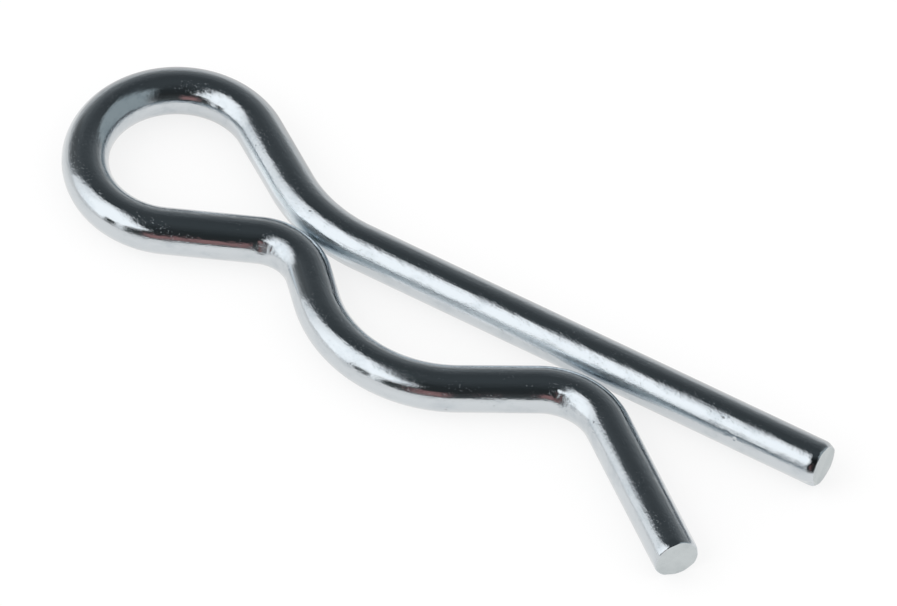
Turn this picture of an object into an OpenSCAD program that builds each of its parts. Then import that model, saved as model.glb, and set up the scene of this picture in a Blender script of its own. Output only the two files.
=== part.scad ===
// Hitch R clip: one length of round spring wire, bent in a single plane.
// The straight leg lies along X with its free end at +X. The origin is on its axis, where
// the axis of the gripped shaft crosses it. Z is square to the plane of the bends.
// All radii and depths are taken to the centreline of the wire unless they say otherwise.

/* [Wire] */
// Diameter of the spring wire
wire_d = 4; // [3.2:0.1:5]
// Edge break on the two sheared ends
end_break = 0.3; // [0.2:0.05:0.6]

/* [Straight leg] */
// From the shaft's axis to the free end
leg_l = 36.5; // [26:0.5:50]
// From the shaft's axis back to the start of the neck bend
neck_x = 8.5; // [7:0.1:11]
// Radius of the neck bend that lifts the wire into the eye
neck_r = 15.1; // [12:0.1:18]

/* [Eye] */
// From the shaft's axis back to the centre of the eye
eye_x = 26.7; // [25:0.1:34]
// How far the centre of the eye sits below the leg's axis
eye_drop = 0.1; // [-1.5:0.1:1.5]
// Radius of the eye
eye_r = 7.7; // [6.5:0.1:9.5]

/* [Crook] */
// From the leg's axis to the inside of the crook, for shafts of 16 to 18 mm
seat_depth = 8.6; // [7.5:0.1:10]
// Radius of the crook that wraps the shaft
crook_r = 12.25; // [11:0.05:15]

/* [Humps] */
// Radius of the hump between the eye and the crook
hump_1_r = 5.1; // [4:0.1:7]
// Gap between that hump and the neck bend
hump_1_gap = 0.15; // [0.1:0.05:1]
// Straight run from that hump to the crook
hump_1_run = 2.8; // [0.8:0.1:4]
// Radius of the hump between the crook and the tail
hump_2_r = 6.4; // [5:0.1:9]
// Gap between that hump and the straight leg
hump_2_gap = 0.55; // [0.55:0.05:1.5]
// Straight run from the crook to that hump
hump_2_run = 6.6; // [1.5:0.1:10]

/* [Tail] */
// Angle at which the tail flares away from the leg
tail_angle = 37; // [25:0.5:50]
// Length of the flared tail after its bend
tail_l = 15.2; // [8:0.2:22]

/* [Hidden] */
$fn = 64;
// The wire thins by a hair in its bends, and each straight laps a little way into them.
bend_d = wire_d - 0.02;
lap = 0.1;

// Hump 1 sits off the neck bend by its gap and off the crook by its run, so its centre is
// where two circles about the neck's and the crook's centres cross, on the side of the eye.
neck_c = [-neck_x, neck_r];
crook_c = [0, crook_r - seat_depth - wire_d / 2];
from_neck = neck_r + hump_1_r + wire_d + hump_1_gap;
from_crook = sqrt(pow(crook_r + hump_1_r, 2) + pow(hump_1_run, 2));
apart = norm(neck_c - crook_c);
toward = (neck_c - crook_c) / apart;
along = (pow(apart, 2) + pow(from_crook, 2) - pow(from_neck, 2)) / (2 * apart);
aside = sqrt(pow(from_crook, 2) - pow(along, 2));
hump_1_c = crook_c + along * toward + aside * [-toward[1], toward[0]];

// Hump 2 stands off the leg by its gap and off the crook by its run.
hump_2_y = -wire_d - hump_2_gap - hump_2_r;
hump_2_x = sqrt(pow(crook_r + hump_2_r, 2) + pow(hump_2_run, 2) - pow(crook_c[1] - hump_2_y, 2));

// Each bend is [centre, radius, turn], in order along the wire from the leg. A turn of 1 is
// counter-clockwise from above, and neighbours turn opposite ways.
BENDS = [
    [neck_c, neck_r, -1],
    [[-eye_x, -eye_drop], eye_r, 1],
    [hump_1_c, hump_1_r, -1],
    [crook_c, crook_r, 1],
    [[hump_2_x, hump_2_y], hump_2_r, -1],
];
LAST = len(BENDS) - 1;

// Length and heading of the straight that leaves bend i and meets the next one at a tangent
function run_l(i) = sqrt(pow(norm(BENDS[i + 1][0] - BENDS[i][0]), 2) - pow(BENDS[i][1] + BENDS[i + 1][1], 2));
function run_head(i) =
    let (d = BENDS[i + 1][0] - BENDS[i][0], k = BENDS[i + 1][2] * (BENDS[i][1] + BENDS[i + 1][1]))
    atan2(d[1], d[0]) - atan2(k, run_l(i));
// Heading of the wire as it comes into bend i
function head(i) = i == 0 ? 180 : i > LAST ? -tail_angle : run_head(i - 1);
// Angle that bend i turns through, from 0 to 360
function sweep(i) = let (a = BENDS[i][2] * (head(i + 1) - head(i))) a - 360 * floor(a / 360);
// Where the wire leaves bend i
function leave(i) = BENDS[i][0] + BENDS[i][2] * BENDS[i][1] * [sin(head(i + 1)), -cos(head(i + 1))];

module bend(i)
    translate(BENDS[i][0])
        rotate(BENDS[i][2] > 0 ? head(i) - 90 : head(i + 1) + 90)
            rotate_extrude(angle = sweep(i))
                translate([BENDS[i][1], 0])
                    circle(d = bend_d);

// A straight that starts a lap before p and runs along the heading a
module straight(p, a, l)
    translate(p) rotate(a) translate([-lap, 0, 0]) rotate([0, 90, 0])
        cylinder(d = wire_d, h = l + 2 * lap);

// The same for a leg that ends in a sheared face with a broken edge
module sheared_leg(p, a, l)
    translate(p) rotate(a) translate([-lap, 0, 0]) rotate([0, 90, 0])
        rotate_extrude()
            polygon([
                [0, 0], [wire_d / 2, 0], [wire_d / 2, l + lap - end_break],
                [wire_d / 2 - end_break, l + lap], [0, l + lap],
            ]);

// The whole clip: straight leg, neck, eye, hump 1, crook, hump 2 and tail in one wire
module clip_wire()
    color([0.66, 0.69, 0.71]) {
        sheared_leg([-neck_x, 0], 0, neck_x + leg_l);
        for (i = [0 : LAST]) bend(i);
        for (i = [0 : LAST - 1]) straight(leave(i), run_head(i), run_l(i));
        sheared_leg(leave(LAST), -tail_angle, tail_l);
    }

clip_wire();
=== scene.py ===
"""Hitch R clip: one bent length of bright plated spring wire, lying on a pale studio floor."""

import math

import bpy
import numpy as np
from mathutils import Matrix, Vector


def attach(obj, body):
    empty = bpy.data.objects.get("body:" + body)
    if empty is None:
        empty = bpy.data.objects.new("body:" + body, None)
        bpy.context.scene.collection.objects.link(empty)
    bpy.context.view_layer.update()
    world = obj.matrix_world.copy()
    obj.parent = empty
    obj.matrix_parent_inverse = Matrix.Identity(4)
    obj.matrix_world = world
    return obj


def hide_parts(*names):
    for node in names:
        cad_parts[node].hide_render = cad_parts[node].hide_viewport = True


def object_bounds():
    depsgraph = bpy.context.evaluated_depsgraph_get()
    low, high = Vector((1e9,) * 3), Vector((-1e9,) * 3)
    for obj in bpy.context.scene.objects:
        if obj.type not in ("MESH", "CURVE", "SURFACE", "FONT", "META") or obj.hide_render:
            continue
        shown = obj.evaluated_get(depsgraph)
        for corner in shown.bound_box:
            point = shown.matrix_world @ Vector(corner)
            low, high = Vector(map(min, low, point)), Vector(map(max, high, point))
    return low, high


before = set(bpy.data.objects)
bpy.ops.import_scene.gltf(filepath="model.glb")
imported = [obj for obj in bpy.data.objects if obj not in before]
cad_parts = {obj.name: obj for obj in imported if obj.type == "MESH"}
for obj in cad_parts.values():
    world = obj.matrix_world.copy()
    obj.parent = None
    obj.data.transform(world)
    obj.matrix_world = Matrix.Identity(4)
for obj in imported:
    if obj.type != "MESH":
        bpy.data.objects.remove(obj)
cad_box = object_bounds()
MM = 0.001

# The wire's own sizes in millimetres, as in the CAD model
WIRE_R = 2.0
LEG_L = 36.5
NECK_X = 8.5
NECK_R = 15.1
EYE_X = 26.7
EYE_DROP = 0.1
EYE_R = 7.7
SEAT_DEPTH = 8.6
CROOK_R = 12.25
HUMP_1_R = 5.1
HUMP_1_GAP = 0.15
HUMP_1_RUN = 2.8
HUMP_2_R = 6.4
HUMP_2_GAP = 0.55
HUMP_2_RUN = 6.6
TAIL_ANGLE = 37.0
TAIL_L = 15.2


def bend_circles():
    """Each bend as (centre, radius, turn), in order along the wire from the straight leg."""
    wire_d = 2 * WIRE_R
    neck = np.array([-NECK_X, NECK_R])
    crook = np.array([0.0, CROOK_R - SEAT_DEPTH - WIRE_R])
    from_neck = NECK_R + HUMP_1_R + wire_d + HUMP_1_GAP
    from_crook = math.hypot(CROOK_R + HUMP_1_R, HUMP_1_RUN)
    apart = np.linalg.norm(neck - crook)
    toward = (neck - crook) / apart
    along = (apart ** 2 + from_crook ** 2 - from_neck ** 2) / (2 * apart)
    aside = math.sqrt(from_crook ** 2 - along ** 2)
    hump_1 = crook + along * toward + aside * np.array([-toward[1], toward[0]])
    hump_2_y = -wire_d - HUMP_2_GAP - HUMP_2_R
    hump_2_x = math.sqrt((CROOK_R + HUMP_2_R) ** 2 + HUMP_2_RUN ** 2 - (crook[1] - hump_2_y) ** 2)
    return [
        (neck, NECK_R, -1),
        (np.array([-EYE_X, -EYE_DROP]), EYE_R, 1),
        (hump_1, HUMP_1_R, -1),
        (crook, CROOK_R, 1),
        (np.array([hump_2_x, hump_2_y]), HUMP_2_R, -1),
    ]


def on_bend(bend, heading):
    """The point of a bend at which the wire has this heading."""
    centre, radius, turn = bend
    return centre + turn * radius * np.array([math.sin(heading), -math.cos(heading)])


def wire_pieces():
    """The wire as (length, start point, start heading, curvature), from the leg's free end to the tail's."""
    bends = bend_circles()
    heads = [math.pi]
    runs = [LEG_L + NECK_X]
    for (centre, radius, turn), (next_centre, next_radius, next_turn) in zip(bends, bends[1:]):
        step = next_centre - centre
        across = next_turn * next_radius - turn * radius
        run = math.sqrt(step @ step - across * across)
        heads.append(math.atan2(step[1], step[0]) - math.atan2(across, run))
        runs.append(run)
    heads.append(-math.radians(TAIL_ANGLE))
    runs.append(TAIL_L)
    pieces = [(runs[0], np.array([LEG_L, 0.0]), heads[0], 0.0)]
    for bend, run, head, next_head in zip(bends, runs[1:], heads, heads[1:]):
        radius, turn = bend[1:]
        sweep = (turn * (next_head - head)) % (2 * math.pi)
        pieces.append((radius * sweep, on_bend(bend, head), head, turn / radius))
        pieces.append((run, on_bend(bend, next_head), next_head, 0.0))
    return pieces


PIECES = wire_pieces()
STARTS = np.cumsum([0.0] + [piece[0] for piece in PIECES])
LENGTH = STARTS[-1]


def along_wire(dist):
    """Centre points and headings at distances along the wire."""
    which = np.clip(np.searchsorted(STARTS, dist, side="right") - 1, 0, len(PIECES) - 1)
    start = np.array([piece[1] for piece in PIECES])[which]
    first = np.array([piece[2] for piece in PIECES])[which]
    curve = np.array([piece[3] for piece in PIECES])[which]
    past = dist - STARTS[which]
    head = first + curve * past
    bent = np.abs(curve) > 0
    safe = np.where(bent, curve, 1.0)
    go_x = np.where(bent, (np.sin(head) - np.sin(first)) / safe, past * np.cos(first))
    go_y = np.where(bent, -(np.cos(head) - np.cos(first)) / safe, past * np.sin(first))
    return start + np.stack([go_x, go_y], 1), head


# Dents as (distance along the wire, angle round it in degrees, their spreads, depth in mm)
DENTS = [
    # where the tool pressed inside hump 1, with two fine ticks
    (101.5, 150, 0.9, 17, 0.11),
    (100.8, 146, 0.35, 12, 0.05),
    (101.9, 147, 0.1, 7, 0.036),
    (102.5, 145, 0.13, 7, 0.055),
    # where the tool pressed inside hump 2
    (135.3, 148, 0.8, 18, 0.10),
    (134.4, 138, 0.3, 12, 0.05),
    (136.1, 164, 0.2, 7, 0.06),
    # two nicks on the leg and one in its rim
    (7.55, 18, 0.17, 5, 0.05),
    (8.4, 24, 0.18, 5, 0.025),
    (0.15, -22, 0.5, 8, 0.16),
]
# The sheared rims' waves as (count round the wire, height in mm, phase), their sink and their reach in mm
RIM_WAVES = [(3, 0.035, 0.7), (7, 0.022, 2.1), (12, 0.014, 0.0)]
RIM_SINK = 0.05
RIM_REACH = 0.35


def dents(dist, degrees, radius):
    """How far each point is pushed in; the sheared rims are a little uneven as well."""
    deep = np.zeros(np.broadcast_shapes(dist.shape, degrees.shape))
    for at, angle, long, wide, depth in DENTS:
        turn = (degrees - angle + 180) % 360 - 180
        deep = deep + depth * np.exp(-((dist - at) / long) ** 2 - (turn / wide) ** 2)
    wave = sum(height * np.sin(count * np.radians(degrees) + phase) for count, height, phase in RIM_WAVES)
    rim = np.exp(-(dist / RIM_REACH) ** 2) + np.exp(-((LENGTH - dist) / RIM_REACH) ** 2)
    return (deep + rim * (wave + RIM_SINK)) * radius / WIRE_R


# The skin's rings: points on each, the ends' rolled edges as (length along the wire, depth) in mm, rings on
# such an edge, rings on a sheared face as shares of its radius, and stretches as (from, to, step) in mm
AROUND = 96
LEG_EDGE = (0.7, 0.2)
TAIL_EDGE = (0.15, 0.09)
EDGE_RINGS = 10
FACE_SHARES = [0.2, 0.4, 0.6, 0.8]
PLAIN_STEP = 0.24
STRETCHES = [
    (LEG_EDGE[0], 6.8, PLAIN_STEP),
    (6.8, 9.2, 0.06),
    (9.2, 100.0, PLAIN_STEP),
    (100.0, 104.6, 0.05),
    (104.6, 133.4, PLAIN_STEP),
    (133.4, 137.6, 0.08),
    (137.6, LENGTH - TAIL_EDGE[0], PLAIN_STEP),
]


def end_rings(edge):
    """Rings as (distance from the end, radius), from the middle of the face out to the full wire."""
    long, deep = edge
    rings = [(0.0, share * (WIRE_R - deep)) for share in FACE_SHARES]
    for angle in np.linspace(math.pi / 2, 0, EDGE_RINGS, endpoint=False):
        rings.append((long * (1 - math.sin(angle)), WIRE_R - deep * (1 - math.cos(angle))))
    return rings


def all_rings():
    """Distances along the wire and radii of all the rings, from the leg's face to the tail's."""
    rings = end_rings(LEG_EDGE)
    for low, high, step in STRETCHES:
        places = np.linspace(low, high, round((high - low) / step), endpoint=False)
        rings += [(place, WIRE_R) for place in places]
    rings.append((STRETCHES[-1][1], WIRE_R))
    rings += [(LENGTH - back, radius) for back, radius in end_rings(TAIL_EDGE)[::-1]]
    return np.array(rings).T


def tube_faces(count):
    """Faces of a closed tube of this many rings, and for each face whether it is on a sheared end."""
    faces = []
    on_end = []
    last = (count - 1) * AROUND
    leg_middle = count * AROUND
    tail_middle = leg_middle + 1
    for ring in range(count - 1):
        sheared = min(ring, count - 2 - ring) < len(FACE_SHARES)
        low = ring * AROUND
        high = low + AROUND
        for here in range(AROUND):
            ahead = (here + 1) % AROUND
            faces.append((low + here, high + here, high + ahead, low + ahead))
            on_end.append(sheared)
    for here in range(AROUND):
        ahead = (here + 1) % AROUND
        faces.append((leg_middle, here, ahead))
        faces.append((tail_middle, last + ahead, last + here))
        on_end += [True, True]
    return faces, on_end


def clip_mesh():
    """The wire as a fine swept tube with rolled, sheared ends and the dents that its bending left."""
    angle = np.linspace(0, 2 * math.pi, AROUND, endpoint=False) - math.pi / 2
    dist, radius = all_rings()
    centre, head = along_wire(dist)
    middle = np.pad(centre, ((0, 0), (0, 1)))
    left = np.stack([-np.sin(head), np.cos(head), np.zeros_like(head)], 1)
    up = np.array([0.0, 0.0, 1.0])
    radius = radius[:, None] - dents(dist[:, None], np.degrees(angle)[None], radius[:, None])
    to_left = radius * np.cos(angle)
    to_up = radius * np.sin(angle)
    tube = middle[:, None] + to_left[:, :, None] * left[:, None] + to_up[:, :, None] * up
    straight = np.stack([np.repeat(dist[:, None], AROUND, 1), to_left, to_up], 2)
    points = np.concatenate([tube.reshape(-1, 3), middle[[0, -1]]])
    unbent = np.concatenate([straight.reshape(-1, 3), [[0, 0, 0], [LENGTH, 0, 0]]])
    faces, on_end = tube_faces(len(dist))
    mesh = bpy.data.meshes.new("clip_wire_skin")
    mesh.from_pydata((points * MM).tolist(), [], faces)
    mesh.polygons.foreach_set("use_smooth", [True] * len(faces))
    mesh.polygons.foreach_set("material_index", [int(sheared) for sheared in on_end])
    attribute = mesh.attributes.new("unbent", "FLOAT_VECTOR", "POINT")
    attribute.data.foreach_set("vector", unbent.astype(np.float32).ravel())
    mesh.update()
    return mesh


# Small builders of shader nodes
def node(tree, kind, **values):
    """A new node; each value goes to the input of that name, or else to the node's own setting."""
    new = tree.nodes.new(kind)
    for key, value in values.items():
        if key in new.inputs:
            new.inputs[key].default_value = value
        else:
            setattr(new, key, value)
    return new


def axes(tree, vector):
    """The X, Y and Z of a vector."""
    split = node(tree, "ShaderNodeSeparateXYZ")
    tree.links.new(vector, split.inputs[0])
    return split.outputs["X"], split.outputs["Y"], split.outputs["Z"]


def grain(tree, where, kind):
    """Noise in the wire's unbent millimetres."""
    scale, detail, rough = kind
    place = node(tree, "ShaderNodeMapping", Scale=scale)
    noise = node(tree, "ShaderNodeTexNoise", Scale=1.0, Detail=detail, Roughness=rough)
    tree.links.new(where, place.inputs["Vector"])
    tree.links.new(place.outputs["Vector"], noise.inputs["Vector"])
    return noise.outputs["Fac"]


def spread(tree, value, low, high, to_low=0.0, to_high=1.0):
    """A smooth step of the value, from to_low at low and below to to_high at high and above."""
    step = node(tree, "ShaderNodeMapRange", interpolation_type="SMOOTHSTEP")
    for key, number in (("From Min", low), ("From Max", high), ("To Min", to_low), ("To Max", to_high)):
        step.inputs[key].default_value = number
    tree.links.new(value, step.inputs["Value"])
    return step.outputs["Result"]


def calc(tree, kind, *values):
    """A math node; each value is a socket or a plain number."""
    math_node = node(tree, "ShaderNodeMath", operation=kind)
    for socket, value in zip(math_node.inputs, values):
        if isinstance(value, (int, float)):
            socket.default_value = value
        else:
            tree.links.new(value, socket)
    return math_node.outputs[0]


def chain(tree, kind, values):
    """One kind of math node after another, over all the values."""
    result = values[0]
    for value in values[1:]:
        result = calc(tree, kind, result, value)
    return result


def product(tree, *values):
    """All the values multiplied."""
    return chain(tree, "MULTIPLY", values)


def total(tree, *values):
    """All the values added."""
    return chain(tree, "ADD", values)


def band(tree, value, low, high, soft, soft_high=None):
    """One between low and high, with soft edges, and nought outside."""
    other = soft if soft_high is None else soft_high
    rise = spread(tree, value, low - soft, low + soft)
    fall = spread(tree, value, high - other, high + other, 1.0, 0.0)
    return product(tree, rise, fall)


def mix(tree, factor, below, above):
    """A colour laid over another by a factor; each is a socket or a plain colour."""
    blend = node(tree, "ShaderNodeMix", data_type="RGBA")
    tree.links.new(factor, blend.inputs["Factor"])
    for key, colour in (("A", below), ("B", above)):
        if isinstance(colour, tuple):
            blend.inputs[key].default_value = colour + (1,)
        else:
            tree.links.new(colour, blend.inputs[key])
    return blend.outputs["Result"]


def ramp(tree, value, stops):
    """A colour ramp with stops as (position, colour)."""
    scale = node(tree, "ShaderNodeValToRGB")
    elements = scale.color_ramp.elements
    elements[0].position = stops[0][0]
    elements[1].position = stops[-1][0]
    for stop in stops[1:-1]:
        elements.new(stop[0])
    for element, stop in zip(elements, stops):
        element.color = stop[1] + (1,)
    tree.links.new(value, scale.inputs["Fac"])
    return scale.outputs["Color"]


# Zinc: its colours, and its grains as (scale per mm along the wire, to its left and up, detail, roughness)
BRIGHT = (0.565, 0.61, 0.645)
DULLED = (0.50, 0.55, 0.59)
# a painted lighter reflection, laid on the worn satin flank
PAINTED_SHEEN = (0.80, 0.89, 0.95)
# a dark stain for the pits, also used for painted shade on the leg's rim
STAIN_AND_SHADE = (0.16, 0.17, 0.18)
BARE = (0.55, 0.6, 0.62)
PEBBLE = ((6.5, 6.5, 6.5), 3.0, 0.65)
MOTTLE = ((2.2, 3.0, 3.0), 4.0, 0.7)
DRAW_LINES = ((0.35, 6.0, 6.0), 3.0, 0.6)
RUBBED = ((0.35, 0.6, 0.6), 3.0, 0.6)
PITS = ((2.2, 3.2, 3.2), 1.0, 0.4)
SPECKS = ((7.5, 7.5, 7.5), 1.0, 0.4)
CREASES = ((3.0, 2.4, 2.4), 4.0, 0.6)
SHEAR_LINES = ((2.0, 1.0, 5.0), 4.0, 0.65)

# Where a mark shows, as the levels of its own grain and of the rubbed grain between which it comes up
PIT_LEVELS = (0.74, 0.80)
PIT_RUBBED = (0.52, 0.6)
SPECK_LEVELS = (0.66, 0.74)
SPECK_RUBBED = (0.46, 0.56)
DULL_RUBBED = (0.45, 0.75)
PIT_STAIN = 0.7

# Roughness: levels of the rubbed grain with the roughness at each, and what each mark adds
PLATE_ROUGH = (0.3, 0.7, 0.035, 0.08)
BARE_ROUGH = (0.3, 0.7, 0.36, 0.5)
DRAW_ROUGH = 0.04
SATIN_ROUGH = 0.3
PIT_ROUGH = 0.2

# Relief: its depth in mm on the plating and on the sheared faces, and each mark's share of it, which for the
# mottle is levels of the rubbed grain with the share at each
PLATE_DEPTH = 0.012
BARE_DEPTH = 0.03
PEBBLE_SHARE = 0.45
DRAW_SHARE = 0.8
MOTTLE_SHARE = (0.35, 0.6, 0.4, 1.5)
PIT_SHARE = -0.9
SPECK_SHARE = 0.55
CREASE_SHARE = 2.2
SHEAR_SHARE = 0.8

# Bands in which marks lie, as (from, to, softness, softness of the far edge) in mm along the wire or up
# the satin flank and the rub below it: worn rougher, and carrying a painted lighter reflection
SATIN_AND_SHEEN_ALONG = (12.0, 60.0, 4.0, 6.0)
SATIN_AND_SHEEN_UP = (0.55, 1.14, 0.2)
RUB_AND_SHEEN_ALONG = (45.2, 51.5, 1.2)
RUB_AND_SHEEN_UP = (0.0, 0.75, 0.15)
# next: the band of painted shade on the leg's sheared rim
RIM_SHADE_UP = (0.72, 1.7, 0.12)
BURNISHED_ALONG = (99.8, 106.0, 0.4)
CREASE_1_ALONG = (100.4, 103.2, 0.4)
CREASE_2_ALONG = (134.0, 136.2, 0.4)
CREASE_UP = (0.4, 1.45, 0.2)

# Steps at which marks begin or end, as (from, to, value before, value after) in mm or in levels of a grain
# the satin flank's edge and mottle, which also shape its painted lighter reflection
SATIN_AND_SHEEN_LEFT = (1.0, 1.4)
SATIN_AND_SHEEN_MOTTLE = (0.35, 0.6, 0.7, 1.0)
# next two: where the painted shade on the leg's sheared rim begins and ends
RIM_SHADE_ALONG = (0.4, 0.8, 0.8, 0.0)
RIM_SHADE_LEFT = (0.4, 0.8)
CREASE_LEFT = (-1.1, -0.9, 1.0, 0.0)


def metal(name):
    """A new metal, as its material, node tree, shader and the wire's unbent place."""
    material = bpy.data.materials.new(name)
    material.use_nodes = True
    tree = material.node_tree
    shader = tree.nodes["Principled BSDF"]
    shader.inputs["Metallic"].default_value = 1.0
    where = node(tree, "ShaderNodeAttribute", attribute_name="unbent").outputs["Vector"]
    return material, tree, shader, where


def relief(tree, shader, height, depth):
    """Fine bumps of the given depth in millimetres."""
    bump = node(tree, "ShaderNodeBump", Strength=1.0, Distance=depth * MM)
    tree.links.new(height, bump.inputs["Height"])
    tree.links.new(bump.outputs["Normal"], shader.inputs["Normal"])


def satin_wear_and_painted_sheen(tree, where, mottle):
    """The straight side's flank towards the humps, and lower where hump 1 rubs, worn to satin: rougher, and
    with a painted lighter reflection.
    """
    along, left, up = axes(tree, where)
    flank = product(tree, band(tree, up, *SATIN_AND_SHEEN_UP), band(tree, along, *SATIN_AND_SHEEN_ALONG))
    rub_and_sheen = product(tree, band(tree, up, *RUB_AND_SHEEN_UP), band(tree, along, *RUB_AND_SHEEN_ALONG))
    worn_and_sheen = calc(tree, "MAXIMUM", flank, rub_and_sheen)
    return product(tree, worn_and_sheen, spread(tree, left, *SATIN_AND_SHEEN_LEFT), spread(tree, mottle, *SATIN_AND_SHEEN_MOTTLE))


def rim_painted_shade(tree, where):
    """Painted shade on the upper left flank of the leg's sheared rim."""
    along, left, up = axes(tree, where)
    rim = product(tree, spread(tree, along, *RIM_SHADE_ALONG), band(tree, up, *RIM_SHADE_UP))
    return product(tree, rim, spread(tree, left, *RIM_SHADE_LEFT))


def tool_creases(tree, where):
    """Fine creases where the bending tool pressed, on the upper inner flank of both humps."""
    along, left, up = axes(tree, where)
    inner = product(tree, spread(tree, left, *CREASE_LEFT), band(tree, up, *CREASE_UP))
    pressed = calc(tree, "MAXIMUM", band(tree, along, *CREASE_1_ALONG), band(tree, along, *CREASE_2_ALONG))
    return product(tree, inner, pressed, grain(tree, where, CREASES))


def unpressed(tree, where):
    """Nought along hump 1, which the tool burnished so that no pits are left, and one elsewhere."""
    along = axes(tree, where)[0]
    return calc(tree, "SUBTRACT", 1.0, band(tree, along, *BURNISHED_ALONG))


def plated_zinc(name):
    """Bright zinc on drawn wire: draw lines, a pebbly grain, pits, specks, rubbed patches, satin wear with a
    painted lighter reflection, and painted shade on the leg's rim.
    """
    material, tree, shader, where = metal(name)
    rubbed = grain(tree, where, RUBBED)
    mottle = grain(tree, where, MOTTLE)
    draw = grain(tree, where, DRAW_LINES)
    pits = spread(tree, grain(tree, where, PITS), *PIT_LEVELS)
    pits = product(tree, pits, spread(tree, rubbed, *PIT_RUBBED), unpressed(tree, where))
    specks = spread(tree, grain(tree, where, SPECKS), *SPECK_LEVELS)
    specks = product(tree, specks, spread(tree, rubbed, *SPECK_RUBBED))
    satin_and_sheen = satin_wear_and_painted_sheen(tree, where, mottle)

    colour = mix(tree, spread(tree, rubbed, *DULL_RUBBED), BRIGHT, DULLED)
    # painted lighter reflection on the worn flank
    colour = mix(tree, satin_and_sheen, colour, PAINTED_SHEEN)
    # the pits' dark stain, and painted shade on the leg's rim
    stain_and_shade = calc(tree, "MAXIMUM", product(tree, pits, PIT_STAIN), rim_painted_shade(tree, where))
    tree.links.new(mix(tree, stain_and_shade, colour, STAIN_AND_SHADE), shader.inputs["Base Color"])

    rough = total(
        tree,
        spread(tree, rubbed, *PLATE_ROUGH),
        product(tree, draw, DRAW_ROUGH),
        product(tree, satin_and_sheen, SATIN_ROUGH),
        product(tree, pits, PIT_ROUGH),
    )
    tree.links.new(rough, shader.inputs["Roughness"])

    height = total(
        tree,
        product(tree, grain(tree, where, PEBBLE), PEBBLE_SHARE),
        product(tree, draw, DRAW_SHARE),
        product(tree, mottle, spread(tree, rubbed, *MOTTLE_SHARE)),
        product(tree, pits, PIT_SHARE),
        product(tree, specks, SPECK_SHARE),
        product(tree, tool_creases(tree, where), CREASE_SHARE),
    )
    relief(tree, shader, height, PLATE_DEPTH)
    return material


def sheared_zinc(name):
    """The cut faces: duller, with the lines that the shears left."""
    material, tree, shader, where = metal(name)
    shader.inputs["Base Color"].default_value = BARE + (1,)
    rough = spread(tree, grain(tree, where, RUBBED), *BARE_ROUGH)
    tree.links.new(rough, shader.inputs["Roughness"])
    lines = product(tree, grain(tree, where, SHEAR_LINES), SHEAR_SHARE)
    relief(tree, shader, total(tree, lines, grain(tree, where, PEBBLE)), BARE_DEPTH)
    return material


# The clip
skin = bpy.data.objects.new("clip_wire_skin", clip_mesh())
bpy.context.scene.collection.objects.link(skin)
skin.data.materials.append(plated_zinc("zinc_plate"))
skin.data.materials.append(sheared_zinc("zinc_sheared"))
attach(skin, "root")
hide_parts("clip_wire")

# Studio: pale floor, two soft lights, and a canopy that only reflections see, with the same two lights on it
FLOOR_Z = cad_box[0][2]
FLOOR_SIZE = 40.0
FLOOR_GREY = (0.18, 0.18, 0.18, 1)
FLOOR_GLOW = 0.78
WHITE = (1.0, 1.0, 1.0)

# The floor's painted glow in reflections: its tint, and its tone as (from, to, tone at from, tone at to) in
# metres, dimmer behind the clip, far in front of it and far to its left
MIRRORED_TINT = (1.02, 0.99, 0.965)
TONE_BACK_Y = (0.002, 0.012, 0.83, 0.48)
TONE_LEFT_X = (-0.052, -0.037, 0.78, 1.0)
TONE_FRONT_Y = (-0.025, -0.016, 0.9, 1.0)


def direction(az, el):
    """Unit vector towards an azimuth, from -Y towards +X, and an elevation, in degrees."""
    around = math.radians(az)
    above = math.radians(el)
    level = math.cos(above)
    return Vector((math.sin(around) * level, -math.cos(around) * level, math.sin(above)))


def staged(name, verts, faces):
    """A new object in the scene from points and faces."""
    mesh = bpy.data.meshes.new(name)
    mesh.from_pydata(verts, [], faces)
    thing = bpy.data.objects.new(name, mesh)
    bpy.context.scene.collection.objects.link(thing)
    return thing


def glowing(name):
    """A new material that only glows, as its material, node tree, output and emission."""
    material = bpy.data.materials.new(name)
    material.use_nodes = True
    tree = material.node_tree
    tree.nodes.clear()
    output = node(tree, "ShaderNodeOutputMaterial")
    glow = node(tree, "ShaderNodeEmission")
    tree.links.new(glow.outputs[0], output.inputs["Surface"])
    return material, tree, output, glow


def object_place(tree):
    """X, Y and Z in the object's own coordinates, in metres."""
    return axes(tree, node(tree, "ShaderNodeTexCoord").outputs["Object"])


def floor_material():
    """Grey paper that keeps the shadow, with a glow that brings it to white and a painted glow for
    reflections, dimmer behind the clip and far from it.
    """
    material, tree, output, glow = glowing("floor_white")
    path = node(tree, "ShaderNodeLightPath").outputs
    x, y = object_place(tree)[:2]
    # painted light: a glow that only reflections see, dimmer behind the clip and far from it
    tone = product(
        tree,
        path["Is Glossy Ray"],
        spread(tree, y, *TONE_BACK_Y),
        spread(tree, x, *TONE_LEFT_X),
        spread(tree, y, *TONE_FRONT_Y),
    )
    seen = calc(tree, "MAXIMUM", path["Is Camera Ray"], path["Is Transmission Ray"])
    tree.links.new(total(tree, tone, product(tree, seen, FLOOR_GLOW)), glow.inputs["Strength"])
    tree.links.new(mix(tree, path["Is Glossy Ray"], WHITE, MIRRORED_TINT), glow.inputs["Color"])
    paper = node(tree, "ShaderNodeBsdfDiffuse", Color=FLOOR_GREY)
    both = node(tree, "ShaderNodeAddShader")
    tree.links.new(paper.outputs[0], both.inputs[0])
    tree.links.new(glow.outputs[0], both.inputs[1])
    tree.links.new(both.outputs[0], output.inputs["Surface"])
    return material


def floor_plane():
    """A large level square under the clip."""
    half = FLOOR_SIZE / 2
    corners = [(-half, -half), (half, -half), (half, half), (-half, half)]
    plane = staged("floor", [(x, y, FLOOR_Z) for x, y in corners], [(0, 1, 2, 3)])
    plane.data.materials.append(floor_material())
    return plane


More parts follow.
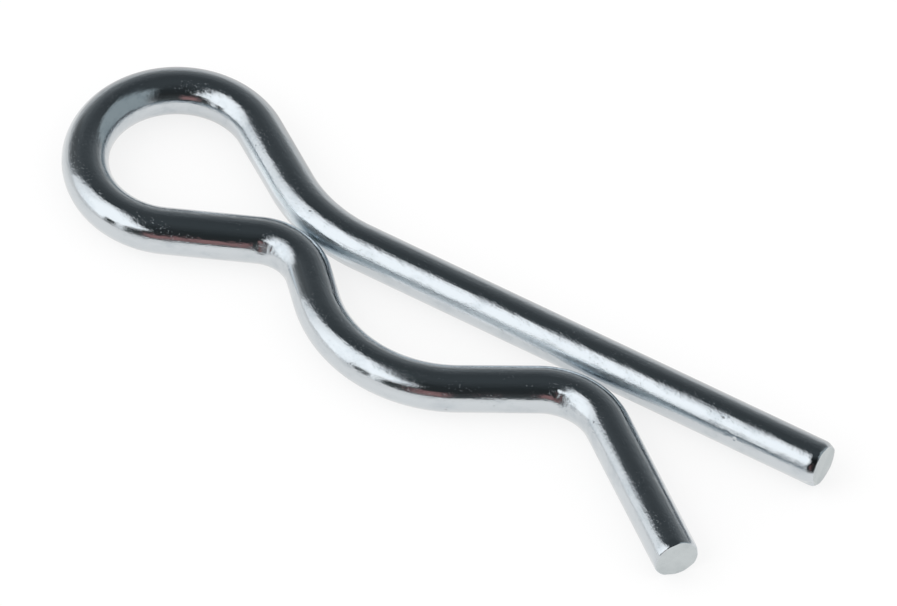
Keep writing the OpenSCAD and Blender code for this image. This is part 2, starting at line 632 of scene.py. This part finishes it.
# The canopy: its radius in metres and its mesh
CANOPY_R = 5.0
CANOPY_ROWS = 24
CANOPY_COLUMNS = 48

# Its tones as (sine of the elevation, colour), all round and on the near side
FAR_TONES = [
    (0.0, (0.68, 0.68, 0.68)),
    (0.07, (0.57, 0.575, 0.58)),
    (0.174, (0.39, 0.395, 0.395)),
    (0.292, (0.235, 0.243, 0.245)),
    (0.423, (0.178, 0.185, 0.19)),
    (0.545, (0.138, 0.148, 0.154)),
    (0.707, (0.085, 0.094, 0.1)),
    (0.866, (0.056, 0.064, 0.069)),
    (1.0, (0.06, 0.07, 0.075)),
]
NEAR_TONES = [
    (0.0, (0.24, 0.25, 0.25)),
    (0.08, (0.13, 0.14, 0.14)),
    (0.2, (0.068, 0.074, 0.075)),
    (0.36, (0.05, 0.055, 0.056)),
    (0.55, (0.03, 0.033, 0.034)),
    (0.8, (0.03, 0.036, 0.038)),
    (0.95, (0.05, 0.058, 0.062)),
    (1.0, (0.06, 0.07, 0.075)),
]
NEAR_SIDE = (-16, 62, 3)

# Its patches as azimuth from and to, elevation from and to, and softness, in degrees, with their colours
SIDE_PANEL = (70, 155, 3, 66, 3)
SIDE_PANEL_TONE = (0.38, 0.43, 0.445)
LEFT_SHADE = (-120, -88, 5, 37, 4)
LEFT_SHADE_TONE = (0.05, 0.052, 0.052)
LEFT_SHADE_SHARE = 0.45
WARM_STREAK = (3, 25, 8, 25, 1.5)
WARM_STREAK_TONE = (0.36, 0.2, 0.195)
DARK_MARK = (-34, -22, 2, 19, 1)
DARK_MARK_TONE = (0.07, 0.075, 0.075)

# Its softbox in degrees: soft edges as (from, to), the point to which its right edge leans and the azimuth
# that it leans from, where its top starts to fall and how fast, and the azimuths and tones of its dimming
BOX_LEFT = (-83, -79)
BOX_BOTTOM = (0.5, 4.5)
BOX_TOP = (65.6, 68.6)
BOX_RIGHT = (-2, 2)
POINT_AZ = 3
POINT_EL = 38
POINT_LEAN = 1.4
RIGHT_AZ = -16
FALL_AZ = -45
FALL = 0.5
BOX_DIMS = (-82, -52)
BOX_BRIGHT = (1.05, 1.48)


def radians(angles):
    """Angles in radians from angles in degrees."""
    return [math.radians(angle) for angle in angles]


def patch(tree, az, el, sides):
    """One inside a patch of the canopy and nought outside."""
    az_low, az_high, el_low, el_high, soft = radians(sides)
    return product(tree, band(tree, az, az_low, az_high, soft), band(tree, el, el_low, el_high, soft))


def softbox_shape(tree, az, el):
    """One inside the softbox. Its top falls to the right, and its right edge leans out to meet it."""
    under = calc(tree, "MAXIMUM", calc(tree, "SUBTRACT", math.radians(POINT_EL), el), 0.0)
    lean = calc(tree, "SUBTRACT", math.radians(POINT_AZ), product(tree, under, POINT_LEAN))
    past_edge = calc(tree, "SUBTRACT", az, calc(tree, "MAXIMUM", lean, math.radians(RIGHT_AZ)))
    past_fall = calc(tree, "MAXIMUM", calc(tree, "SUBTRACT", az, math.radians(FALL_AZ)), 0.0)
    top = total(tree, el, product(tree, past_fall, FALL))
    return product(
        tree,
        spread(tree, az, *radians(BOX_LEFT)),
        spread(tree, past_edge, *radians(BOX_RIGHT), 1.0, 0.0),
        spread(tree, el, *radians(BOX_BOTTOM)),
        spread(tree, top, *radians(BOX_TOP), 1.0, 0.0),
    )


def canopy_material():
    """The studio as the wire reflects it, painted by azimuth and elevation."""
    material, tree, _, glow = glowing("canopy_grey")
    x, y, z = object_place(tree)
    height = calc(tree, "DIVIDE", z, CANOPY_R)
    az = calc(tree, "ARCTAN2", x, product(tree, y, -1.0))
    el = calc(tree, "ARCSINE", height)
    near_side = band(tree, az, *radians(NEAR_SIDE))
    tone = mix(tree, near_side, ramp(tree, height, FAR_TONES), ramp(tree, height, NEAR_TONES))
    tone = mix(tree, patch(tree, az, el, SIDE_PANEL), tone, SIDE_PANEL_TONE)
    shade = product(tree, patch(tree, az, el, LEFT_SHADE), LEFT_SHADE_SHARE)
    tone = mix(tree, shade, tone, LEFT_SHADE_TONE)
    tone = mix(tree, patch(tree, az, el, WARM_STREAK), tone, WARM_STREAK_TONE)
    # the softbox dims to the left
    bright = spread(tree, az, *radians(BOX_DIMS), *BOX_BRIGHT)
    tone = mix(tree, softbox_shape(tree, az, el), tone, bright)
    tone = mix(tree, patch(tree, az, el, DARK_MARK), tone, DARK_MARK_TONE)
    tree.links.new(tone, glow.inputs["Color"])
    return material


def canopy():
    """A half sphere on the floor round the set, seen only in reflections."""
    verts = []
    faces = []
    for row in range(CANOPY_ROWS + 1):
        above = math.radians(90 * row / CANOPY_ROWS)
        level = CANOPY_R * math.cos(above)
        for column in range(CANOPY_COLUMNS):
            around = 2 * math.pi * column / CANOPY_COLUMNS
            z = CANOPY_R * math.sin(above) + FLOOR_Z
            verts.append((level * math.cos(around), level * math.sin(around), z))
    for low in range(0, CANOPY_ROWS * CANOPY_COLUMNS, CANOPY_COLUMNS):
        high = low + CANOPY_COLUMNS
        for here in range(CANOPY_COLUMNS):
            ahead = (here + 1) % CANOPY_COLUMNS
            faces.append((low + here, high + here, high + ahead, low + ahead))
    dome = staged("canopy", verts, faces)
    dome.data.polygons.foreach_set("use_smooth", [True] * len(faces))
    dome.data.materials.append(canopy_material())
    dome.visible_camera = False
    dome.visible_diffuse = False
    dome.visible_shadow = False
    return dome


floor = floor_plane()
canopy()

LIGHT_AWAY = 1.2


def soft_light(name, az, el, width, height, radiance):
    """A rectangle that faces the clip; width and height are the angles that it fills, in degrees."""
    data = bpy.data.lights.new(name, "AREA")
    data.shape = "RECTANGLE"
    data.size = 2 * LIGHT_AWAY * math.tan(math.radians(width / 2))
    data.size_y = 2 * LIGHT_AWAY * math.tan(math.radians(height / 2))
    data.energy = radiance * math.pi * data.size * data.size_y
    light = bpy.data.objects.new(name, data)
    bpy.context.scene.collection.objects.link(light)
    light.visible_glossy = False
    back = direction(az, el)
    turned = back.to_track_quat("Z", "Y").to_matrix().to_4x4()
    light.matrix_world = Matrix.Translation(back * LIGHT_AWAY) @ turned


soft_light("softbox", az=-48.5, el=36, width=71, height=54, radiance=1.4)
soft_light("side_panel", az=105, el=38.5, width=76, height=60, radiance=0.34)

world = bpy.data.worlds.new("studio")
bpy.context.scene.world = world
world.use_nodes = True
background = world.node_tree.nodes["Background"]
background.inputs["Color"].default_value = (1, 1, 1, 1)
background.inputs["Strength"].default_value = 1.0

# Camera: a long lens at the photograph's angle, with angles in degrees and its distance in metres
CAMERA_AZ = 30.759
CAMERA_EL = 50.533
CAMERA_ROLL = 0.662
CAMERA_AWAY = 2.279
TARGET = Vector((0.779, -1.363, 0.0)) * MM
FOCAL_PIXELS = 27231.5
PHOTO_WIDTH = 897
SENSOR_WIDTH = 36.0
CLIP_START = 0.01
CLIP_END = 100.0


def photo_camera():
    """The camera of the photograph."""
    lens = bpy.data.cameras.new("camera")
    lens.sensor_fit = "HORIZONTAL"
    lens.sensor_width = SENSOR_WIDTH
    lens.lens = FOCAL_PIXELS * SENSOR_WIDTH / PHOTO_WIDTH
    lens.clip_start = CLIP_START
    lens.clip_end = CLIP_END
    camera = bpy.data.objects.new("camera", lens)
    bpy.context.scene.collection.objects.link(camera)
    back = direction(CAMERA_AZ, CAMERA_EL)
    level = Vector((math.cos(math.radians(CAMERA_AZ)), math.sin(math.radians(CAMERA_AZ)), 0.0))
    upright = back.cross(level)
    roll = math.radians(CAMERA_ROLL)
    right = level * math.cos(roll) + upright * math.sin(roll)
    up = upright * math.cos(roll) - level * math.sin(roll)
    turned = Matrix((right, up, back)).transposed().to_4x4()
    camera.matrix_world = Matrix.Translation(TARGET + back * CAMERA_AWAY) @ turned
    return camera


bpy.context.scene.camera = photo_camera()

bpy.context.scene.view_settings.view_transform = "Standard"
